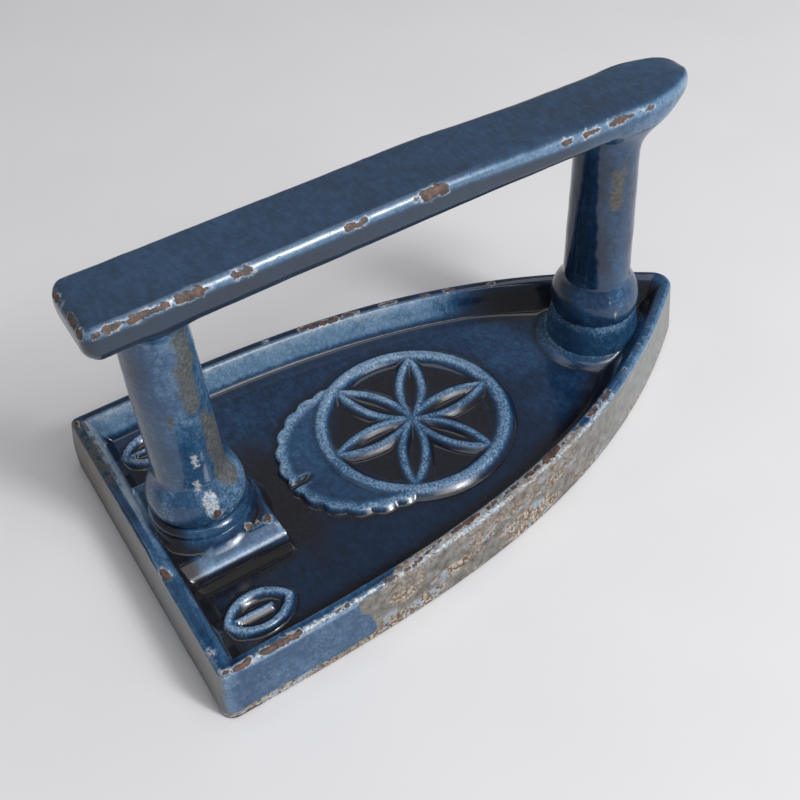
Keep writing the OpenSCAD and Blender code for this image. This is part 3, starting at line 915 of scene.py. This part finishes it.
def wear_post(obj, x, olive, chips, crust, pale, seed):
    """Stores the streaks, scabs and stains of a post, with painted glints among the scabs and painted light
    on its window side.
    """
    mesh = obj.data
    v, n, edges = mesh_arrays(mesh)
    broad = convexity(v, n, edges, 40)
    angle = np.arctan2(v[:, 1], v[:, 0] - x)
    low = smooth((34 - v[:, 2]) / 8)
    streaks = fractal(v * [1.0, 1.0, 0.35], 5.0, seed + 4, 3)
    # painted light: the side toward the window light is paler, the far side darker
    tone = pale + 0.10 * fractal(v, 11.0, seed, 2) + 0.14 * streaks + 0.10 * np.cos(angle + 1.1)
    store_wear(
        mesh,
        tone=tone + 0.03 * low + 0.10 * smooth((v[:, 2] - GRIP_UNDER + 9) / 7),
        pool=np.clip(-broad / 0.5, 0, 1) * 0.8 * (v[:, 2] < GRIP_UNDER - 20),
        frost=0.25 + 0.45 * low,
        chip=round_post(v, x, chips),
        wear=0.10 + 0.20 * low,
        olive=round_post(v, x, olive),
        scab=round_post(v, x, crust) - CRUST_DEPTH,
    )


def wear_grip(obj):
    """Stores the worn and chipped edges of the grip, and painted shade on its near side face."""
    mesh = obj.data
    v, n = mesh_arrays(mesh)[:2]
    along = v[:, 0] - GRIP_REAR
    half = grip_section(v[:, 0])[0]
    near = smooth(0.5 - v[:, 1] / 12)
    drop = 1.0 + 1.7 * smooth((along - 75) / 40)
    off = np.hypot(np.abs(v[:, 1] - grip_sway(v[:, 0])) - half + 0.5, v[:, 2] - GRIP_TOP + drop)
    chip = near_or_far(near, along, off, GRIP_NEAR_CHIPS, GRIP_FAR_CHIPS)
    rear_off = np.hypot(along - 0.9, v[:, 2] - GRIP_TOP + 1.6)
    chip = np.maximum(chip, along_edge(-v[:, 1], rear_off, GRIP_END_CHIPS))
    side = smooth((0.5 - n[:, 2]) / 0.5) * near
    tone = 0.31 + 0.06 * fractal(v, 30.0, 5, 2) + (0.12 + 0.28 * near) * smooth((1.9 - off) / 1.5)
    # painted shade on the grip's near side face, paler toward the nose
    tone += side * (-0.12 + 0.42 * smooth((along - 105) / 35)) + 0.05 * smooth((along - 125) / 20)
    store_wear(
        mesh,
        tone=tone,
        pool=0.0,
        frost=0.3,
        chip=chip,
        wear=(0.3 + 0.38 * near) * smooth((1.6 - off) / 1.3),
    )


# ---------------------------------------------------------------- materials


def srgb(red, green, blue):
    """A screen colour, 0 to 255 a channel, as the linear colour that shaders take."""
    linear = []
    for part in (red, green, blue):
        c = part / 255
        linear.append(c / 12.92 if c <= 0.04045 else ((c + 0.055) / 1.055) ** 2.4)
    return (*linear, 1.0)


NAVY = srgb(12, 21, 34)
COBALT = srgb(18, 40, 68)
BLUE = srgb(40, 77, 112)
PALE_BLUE = srgb(108, 139, 170)
FROST = srgb(178, 190, 202)
# the dark of thick glaze, used as well for painted shade
POOL = srgb(24, 22, 27)
CREAM = srgb(206, 197, 180)
RUST = srgb(118, 74, 54)
BURNT = srgb(58, 45, 40)
IRON = srgb(116, 113, 108)
DARK_IRON = srgb(72, 68, 64)
PALE_IRON = srgb(156, 154, 150)
OLIVE = srgb(76, 77, 71)
# the heel wall's colour in painted shade at its foot, and in painted sheen at its top
UMBER = srgb(70, 66, 61)
ASH = srgb(142, 136, 128)
SLATE = srgb(70, 86, 100)
NOSE_IRON = srgb(168, 172, 174)
OCHRE = srgb(150, 132, 106)
DARK_OLIVE = srgb(48, 47, 44)
PALE_OLIVE = srgb(106, 105, 95)
PUTTY = srgb(96, 92, 88)
BONE = srgb(224, 225, 222)
SOOT = srgb(42, 36, 35)
BROWN = srgb(74, 60, 55)
# the crack's dark, used as well for the painted shade line at the pad's foot
CRACK = srgb(16, 14, 15)
# The cells between the hairline cracks: their size in mm, and their stretch.
CELL_SIZE, CELL_STRETCH = 1.7, (1.0, 0.62, 1.0)


class Graph:
    """Short names for building one material's nodes. Sizes are in millimetres of the iron."""

    def __init__(self, name):
        self.material = bpy.data.materials.new(name)
        self.material.use_nodes = True
        self.tree = self.material.node_tree
        self.surface = self.tree.nodes["Principled BSDF"]
        self.place = self.node("ShaderNodeTexCoord").outputs["Object"]

    def feed(self, socket, value):
        if isinstance(value, bpy.types.NodeSocket):
            self.tree.links.new(value, socket)
        else:
            socket.default_value = value

    def node(self, kind, inputs=(), **settings):
        """A new node with these settings, and with these values or links fed to its inputs."""
        made = self.tree.nodes.new(kind)
        for key, value in settings.items():
            setattr(made, key, value)
        for key, value in dict(inputs).items():
            self.feed(made.inputs[key], value)
        return made

    def math(self, operation, a, b=0.0, clamp=False):
        return self.node("ShaderNodeMath", {0: a, 1: b}, operation=operation, use_clamp=clamp).outputs[0]

    def times(self, a, b):
        return self.math("MULTIPLY", a, b)

    def inverse(self, value):
        return self.math("SUBTRACT", 1.0, value)

    def times_plus(self, a, factor, extra):
        return self.node("ShaderNodeMath", {0: a, 1: factor, 2: extra}, operation="MULTIPLY_ADD").outputs[0]

    def mix(self, share, a, b):
        """A blend of two colours."""
        return self.node("ShaderNodeMix", {0: share, 6: a, 7: b}, data_type="RGBA").outputs[2]

    def between(self, share, a, b):
        """A blend of two numbers."""
        return self.node("ShaderNodeMix", {0: share, 2: a, 3: b}, data_type="FLOAT").outputs[0]

    def above(self, value, edge, soft):
        """0 below edge, 1 above it, over a soft band."""
        band = {"Value": value, "From Min": edge - soft, "From Max": edge + soft}
        return self.node("ShaderNodeMapRange", band, interpolation_type="SMOOTHSTEP").outputs[0]

    def placed(self, shift, stretch):
        """The object's own place, moved or stretched where asked."""
        if not (shift or stretch):
            return self.place
        moved = {"Vector": self.place, "Location": shift or (0, 0, 0), "Scale": stretch or (1, 1, 1)}
        return self.node("ShaderNodeMapping", moved).outputs[0]

    def noise(self, size, detail=3.0, rough=0.5, shift=None, stretch=None):
        look = {"Scale": 1000.0 / size, "Detail": detail, "Roughness": rough}
        look["Vector"] = self.placed(shift, stretch)
        return self.node("ShaderNodeTexNoise", look).outputs["Fac"]

    def swing(self, *noise):
        """The same noise about zero."""
        return self.math("SUBTRACT", self.noise(*noise), 0.5)

    def cells(self, size, feature, stretch=None):
        look = {"Scale": 1000.0 / size, "Vector": self.placed(None, stretch)}
        return self.node("ShaderNodeTexVoronoi", look, feature=feature).outputs["Distance"]

    def axis(self, number):
        """The place along one axis in metres: 0 is x, 2 is z."""
        return self.node("ShaderNodeSeparateXYZ", {0: self.place}).outputs[number]

    def attribute(self, name):
        return self.node("ShaderNodeAttribute", attribute_name=name).outputs["Fac"]

    def ramp(self, value, stops):
        """The colour at a value, between stops of (value, colour)."""
        made = self.node("ShaderNodeValToRGB", {0: value})
        band = made.color_ramp
        while len(band.elements) < len(stops):
            band.elements.new(0.5)
        for element, (at, color) in zip(band.elements, stops):
            element.position = at
            element.color = color
        return made.outputs[0]

    def bump(self, height):
        """Relief from a height in millimetres."""
        made = self.node("ShaderNodeBump", {"Height": height, "Distance": MM, "Strength": 1.0})
        self.feed(self.surface.inputs["Normal"], made.outputs[0])


def enamel_color(g, tone):
    """(colour, level) of glaze that goes from near black where thick to frosty blue where thin, with
    painted light carried in the tone.
    """
    fine = g.noise(0.7, 4.0, 0.7)
    mottle = g.noise(2.6, 4.0, 0.65)
    middle = g.noise(8.0, 3.0, 0.55)
    streak = g.noise(0.9, 3.0, 0.6, (0.3, 0.1, 0.2), (1.0, 0.22, 0.4))
    cells = g.cells(CELL_SIZE, "F1", CELL_STRETCH)
    level = tone
    for share, part in ((0.18, middle), (0.20, mottle), (0.24, fine), (0.18, streak), (-0.07, cells)):
        level = g.times_plus(part, share, level)
    level = g.math("SUBTRACT", level, 0.375)
    grain = g.times(g.swing(0.55, 2.0, 0.7, (6.0, 2.0, 9.0)), g.above(level, 0.46, 0.16))
    level = g.times_plus(g.times(grain, g.attribute("frost")), 1.1, level)
    color = g.ramp(level, [(0.05, NAVY), (0.26, COBALT), (0.48, BLUE), (0.74, PALE_BLUE), (1.0, FROST)])
    specks = g.inverse(g.above(g.cells(0.9, "F1"), 0.20, 0.05))
    specks = g.times(specks, g.above(g.noise(3.0, 2.0), 0.52, 0.05))
    specks = g.times(specks, g.above(level, 0.52, 0.12))
    specks = g.times(specks, g.attribute("frost"))
    return g.mix(g.times(specks, 0.4), color, FROST), level


def crazing(g):
    """Hairline cracks in the glaze: 1 on a line."""
    line = g.cells(CELL_SIZE, "DISTANCE_TO_EDGE", CELL_STRETCH)
    return g.inverse(g.above(line, 0.028, 0.022))


def glaze_color(g, craze, veil):
    """(colour, level) of the whole glaze, with its dark pools and painted shade, its crazing and a dull
    veil.
    """
    color, level = enamel_color(g, g.attribute("tone"))
    # dark where the glaze ran thick, and painted shade where the stored pools hold it
    pool = g.above(g.times_plus(g.noise(9.0, 2.0), 0.4, g.attribute("pool")), 0.66, 0.46)
    color = g.mix(pool, g.mix(veil, color, SLATE), POOL)
    lines = g.times(crazing(g), g.above(g.noise(12.0, 2.0), 0.44, 0.12))
    strength = g.between(pool, 3.0 * craze, craze)
    return g.mix(g.times(lines, strength), color, g.mix(pool, NAVY, BLUE)), level


def stains(g, color, soft):
    """(colour, olive, umber) with the scuffed olive stains and the burnt heel wall laid over a colour; the
    heel wall darkens to painted shade at its foot and pales to a painted sheen at its top.
    """
    olive = g.above(g.times_plus(g.swing(2.2, 4.0, 0.6), 3.2, g.attribute("olive")), 0.0, soft)
    scuffed = g.ramp(g.noise(0.8, 4.0, 0.75), [(0.34, DARK_OLIVE), (0.50, OLIVE), (0.66, PALE_OLIVE)])
    color = g.mix(g.times(olive, 0.85), color, scuffed)
    umber = g.times_plus(g.swing(3.0, 4.0, 0.6), 0.8, 1.0)
    umber = g.math("MULTIPLY", umber, g.attribute("umber"), clamp=True)
    # painted shade at the heel wall's foot grading to a painted sheen at its top
    height = g.times_plus(g.swing(2.4, 4.0, 0.7), 0.006, g.axis(2))
    return g.mix(umber, color, g.mix(g.above(height, 0.0085, 0.0075), UMBER, ASH)), olive, umber


def bare_iron(g):
    """(colour, where the iron is bare) of cast iron that has lost its enamel."""
    field = g.times_plus(g.swing(6.5, 4.0, 0.6, (5.0, 1.0, 2.0)), 1.5, g.attribute("bare"))
    bare = g.above(field, 0.5, 0.04)
    grey = g.ramp(g.noise(2.4, 5.0, 0.65), [(0.28, DARK_IRON), (0.48, IRON), (0.74, PALE_IRON)])
    noseward = g.above(g.axis(0), 0.036, 0.024)
    grey = g.mix(g.times(noseward, 0.5), grey, NOSE_IRON)
    zone = g.above(g.noise(9.0, 2.0, 0.5, (2.0, 7.0, 1.0), (0.6, 0.6, 1.6)), 0.46, 0.06)
    zone = g.times(zone, g.attribute("rusty"))
    rusty = g.times(g.above(g.noise(1.3, 5.0, 0.7, (4.0, 4.0, 0.0)), 0.50, 0.04), zone)
    creamy = g.times(g.above(g.noise(0.9, 5.0, 0.7, (8.0, 3.0, 5.0)), 0.51, 0.03), zone)
    color = g.mix(rusty, grey, g.ramp(g.noise(0.7, 3.0), [(0.35, BURNT), (0.6, RUST)]))
    color = g.mix(creamy, color, g.ramp(g.noise(0.5, 2.0), [(0.35, OCHRE), (0.6, CREAM)]))
    flakes = g.above(g.noise(4.2, 3.0, 0.6, (3.0, 9.0, 4.0)), 0.58, 0.02)
    return g.mix(g.times(flakes, zone), color, g.mix(g.noise(0.8, 3.0), PALE_BLUE, FROST)), bare


def chip_masks(g):
    """(bare core, pale border) of the chips, from the stored chips and the worn edges."""
    broad = g.times_plus(g.swing(4.5, 2.0, 0.5, (3.0, 1.0, 7.0)), 1.6, g.attribute("chip"))
    field = g.times_plus(g.swing(1.5, 4.0, 0.66), 2.6, broad)
    worn = g.times_plus(g.attribute("wear"), 1.5, -1.42)
    worn = g.times_plus(g.swing(0.9, 5.0, 0.72, (1.0, 2.0, 3.0)), 2.4, worn)
    core = g.above(g.math("MAXIMUM", field, worn), 0.0, 0.07)
    border = g.math("MAXIMUM", g.above(field, -0.42, 0.36), g.above(worn, -0.12, 0.14))
    partly = g.above(g.noise(2.8, 2.0, 0.5, (9.0, 4.0, 1.0)), 0.50, 0.08)
    border = g.times(border, g.between(partly, 0.15, 0.8))
    return core, g.math("SUBTRACT", border, core, clamp=True)


def damage(g, color):
    """A colour with bare iron, chips, scabs with painted glints, cracks and the painted shade line at the
    pad's foot laid over it, and the mask of each.
    """
    iron, bare = bare_iron(g)
    color = g.mix(bare, color, iron)
    core, border = chip_masks(g)
    rim = g.ramp(g.noise(0.8, 3.0), [(0.35, PALE_BLUE), (0.5, FROST), (0.62, CREAM)])
    color = g.mix(g.times(border, 0.85), color, rim)
    # pale flaking, with a painted highlight along the near rim's edge and painted glints on the rear post
    scab = g.times_plus(g.swing(1.3, 4.0, 0.68, (2.0, 6.0, 5.0)), 3.6, g.attribute("scab"))
    scab = g.above(scab, 0.0, 0.5)
    shell = g.noise(0.55, 4.0, 0.75, (5.0, 5.0, 2.0))
    shell = g.ramp(shell, [(0.36, PUTTY), (0.43, PALE_BLUE), (0.50, FROST), (0.58, CREAM), (0.70, BONE)])
    color = g.mix(g.times(scab, 0.85), color, shell)
    under = g.noise(1.2, 4.0, 0.65, (7.0, 5.0, 3.0))
    under = g.ramp(under, [(0.32, SOOT), (0.50, BROWN), (0.66, RUST), (0.80, IRON)])
    color = g.mix(core, color, under)
    # cracks, and the painted shade line along the pad's foot
    crack = g.inverse(g.above(g.math("ABSOLUTE", g.attribute("crack")), 0.16, 0.07))
    masks = SimpleNamespace(bare=bare, core=core, border=border, scab=scab, crack=crack)
    return g.mix(crack, color, CRACK), masks


def enamel_relief(g, masks, dull):
    """Sinks the chips, the bare iron, the cracks and the painted shade line at the pad's foot, and raises
    the scabs, in millimetres.
    """
    height = g.times(masks.core, -0.22)
    height = g.times_plus(masks.bare, -0.10, height)
    height = g.times_plus(masks.border, 0.03, height)
    height = g.times_plus(g.times(masks.scab, g.noise(0.9, 4.0, 0.7)), 0.16, height)
    height = g.times_plus(masks.crack, -0.2, height)
    height = g.times_plus(g.times(dull, g.noise(0.6, 4.0, 0.7)), 0.16, height)
    height = g.times_plus(g.noise(2.4, 2.0), 0.010, height)
    g.bump(g.times_plus(g.noise(8.0, 2.0), 0.05, height))


def enamel_material(name, craze, gloss, stain=0.3, veil=0.0):
    """Old blue enamel on cast iron: pooled in hollows, pale on ridges, chipped to the iron on edges, with
    the painted light and shade stored among its wear.
    """
    g = Graph(name)
    color, level = glaze_color(g, craze, veil)
    color, olive, umber = stains(g, color, stain)
    color, masks = damage(g, color)
    g.feed(g.surface.inputs["Base Color"], color)
    dull = g.math("MAXIMUM", g.math("MAXIMUM", masks.core, masks.bare), masks.crack)
    rough = g.between(g.noise(3.0, 3.0), gloss, gloss + 0.08)
    rough = g.between(g.above(level, 0.62, 0.16), rough, 0.17)
    rough = g.times_plus(g.attribute("frost"), 0.16, rough)
    worn = ((masks.border, 0.34), (g.times(olive, 0.9), 0.6), (umber, 0.5), (masks.scab, 0.3))
    for mask, value in (*worn, (dull, 0.62)):
        rough = g.between(mask, rough, value)
    g.feed(g.surface.inputs["Roughness"], rough)
    g.feed(g.surface.inputs["Metallic"], g.times(masks.bare, 0.25))
    g.surface.inputs["IOR"].default_value = 1.6
    enamel_relief(g, masks, dull)
    return g.material


def iron_material():
    """Wrought iron of the hidden studs and pins: drawn grey steel with brown scale."""
    g = Graph("wrought_iron")
    drawn = g.noise(0.5, 3.0, 0.6, stretch=(1.0, 1.0, 0.08))
    scale = g.above(g.noise(2.0, 4.0, 0.65), 0.56, 0.06)
    steel = g.ramp(drawn, [(0.3, DARK_IRON), (0.7, IRON)])
    g.feed(g.surface.inputs["Base Color"], g.mix(scale, steel, BURNT))
    g.feed(g.surface.inputs["Metallic"], g.between(scale, 0.9, 0.1))
    g.feed(g.surface.inputs["Roughness"], g.between(scale, 0.38, 0.75))
    g.bump(g.times_plus(scale, 0.06, g.times(drawn, 0.03)))
    return g.material


def paper_material():
    """The plain pale floor."""
    g = Graph("floor_paper")
    tint = g.noise(40.0, 2.0)
    g.feed(g.surface.inputs["Base Color"], g.mix(tint, srgb(213, 213, 216), srgb(219, 218, 219)))
    g.surface.inputs["Roughness"].default_value = 0.9
    g.surface.inputs["Specular IOR Level"].default_value = 0.1
    return g.material


# ---------------------------------------------------------------- build


def build_base():
    """The base casting with the two bosses that carry the posts."""
    verts, faces = base_mesh()
    parts, all_faces = [verts], list(faces)
    # the bosses are closed solids that reach down into the casting
    for x, foot, ringed in ((REAR_X, PAD_TOP, True), (FRONT_X, DECK, False)):
        turned, rings = lathe(boss_profile(foot, ringed), x)
        shift = sum(len(part) for part in parts)
        parts.append(turned)
        all_faces.extend([tuple(i + shift for i in face) for face in rings])
    return new_object("base_shell", np.vstack(parts), all_faces, "base_casting", "base_enamel", 60)


def build_posts():
    """The two posts, alike but for their size, their fillet and their marks."""
    enamel = enamel_material("post_enamel", 0.12, 0.06, 1.0)
    rear = post_mesh(8.7, REAR_BLEND, 7.0, 0.4, False, 51)
    front = post_mesh(9.1, FRONT_BLEND, 10.0, 0.05, True, 61)
    rear = new_object("rear_post_body", *rear, "rear_post", "post_enamel", 60)
    front = new_object("front_post_body", *front, "front_post", "post_enamel", 60)
    wear_post(rear, REAR_X, REAR_OLIVE, REAR_CHIPS, REAR_CRUST, 0.43, 71)
    wear_post(front, FRONT_X, FRONT_OLIVE, FRONT_CHIPS, FRONT_CRUST, 0.30, 72)
    for post in (rear, front):
        post.data.materials.append(enamel)


def build_iron():
    """Every visible piece, and steel for the studs and pins inside."""
    base = build_base()
    wear_base(base)
    base.data.materials.append(enamel_material("base_enamel", 0.14, 0.05))
    build_posts()
    grip = new_object("grip_bar_body", *grip_mesh(), "grip_bar", "grip_enamel", 60)
    wear_grip(grip)
    grip.data.materials.append(enamel_material("grip_enamel", 0.0, 0.10, veil=0.22))
    steel = iron_material()
    for name in ("rear_stud", "front_stud", "rear_grip_pin", "front_grip_pin"):
        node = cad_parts[name]
        node.data.materials.clear()
        node.data.materials.append(steel)


# ---------------------------------------------------------------- stage


def floor():
    """A wide plain square at the height that the iron stands on."""
    mesh = bpy.data.meshes.new("floor")
    half = 3.0
    corners = [(-half, -half, 0), (half, -half, 0), (half, half, 0), (-half, half, 0)]
    mesh.from_pydata(corners, [], [(0, 1, 2, 3)])
    obj = in_scene("floor", mesh)
    obj.location.z = cad_lo.z
    mesh.materials.append(paper_material())


def area_light(name, direction, distance, size, power, color):
    """A rectangular light that faces the iron from the given direction."""
    data = bpy.data.lights.new(name, "AREA")
    data.shape = "RECTANGLE"
    data.size, data.size_y = size
    data.energy = power
    data.color = color
    obj = in_scene(name, data)
    way = Vector(direction).normalized()
    obj.location = way * distance
    obj.rotation_euler = way.to_track_quat("Z", "Y").to_euler()


def camera():
    """The photograph's view: from behind the heel and to its right, 46 degrees up, slightly rolled."""
    azimuth, elevation, roll = (math.radians(a) for a in (-118.673, 45.583, -4.695))
    target, distance = Vector((-22.59, -27.39, 50.0)) * MM, 241.69 * MM
    flat = math.cos(elevation)
    back = Vector((flat * math.cos(azimuth), flat * math.sin(azimuth), math.sin(elevation)))
    right = (-back).cross(Vector((0, 0, 1))).normalized()
    up = right.cross(-back)
    right_r = math.cos(roll) * right + math.sin(roll) * up
    up_r = -math.sin(roll) * right + math.cos(roll) * up
    data = bpy.data.cameras.new("camera")
    data.lens = 50.476
    data.sensor_width = 36.0
    data.clip_start, data.clip_end = 0.01, 20.0
    obj = in_scene("camera", data)
    rotation = Matrix((right_r, up_r, back)).transposed().to_4x4()
    obj.matrix_world = Matrix.Translation(target + back * distance) @ rotation
    bpy.context.scene.camera = obj


build_iron()
floor()
camera()
area_light("window", (0.26, -0.66, 0.72), 1.1, (0.5, 0.8), 5.2, (1.0, 0.995, 0.985))
area_light("window_pane", (0.28, -0.64, 0.72), 1.09, (0.14, 0.36), 5.6, (1.0, 1.0, 1.0))
area_light("ceiling", (0.05, 0.0, 1.0), 1.3, (1.2, 1.2), 5.0, (0.99, 0.99, 1.0))
world = bpy.data.worlds.new("world")
world.use_nodes = True
sky = world.node_tree.nodes["Background"].inputs
sky["Color"].default_value = (0.80, 0.815, 0.84, 1)
sky["Strength"].default_value = 0.27
bpy.context.scene.world = world
bpy.context.scene.view_settings.view_transform = "Standard"
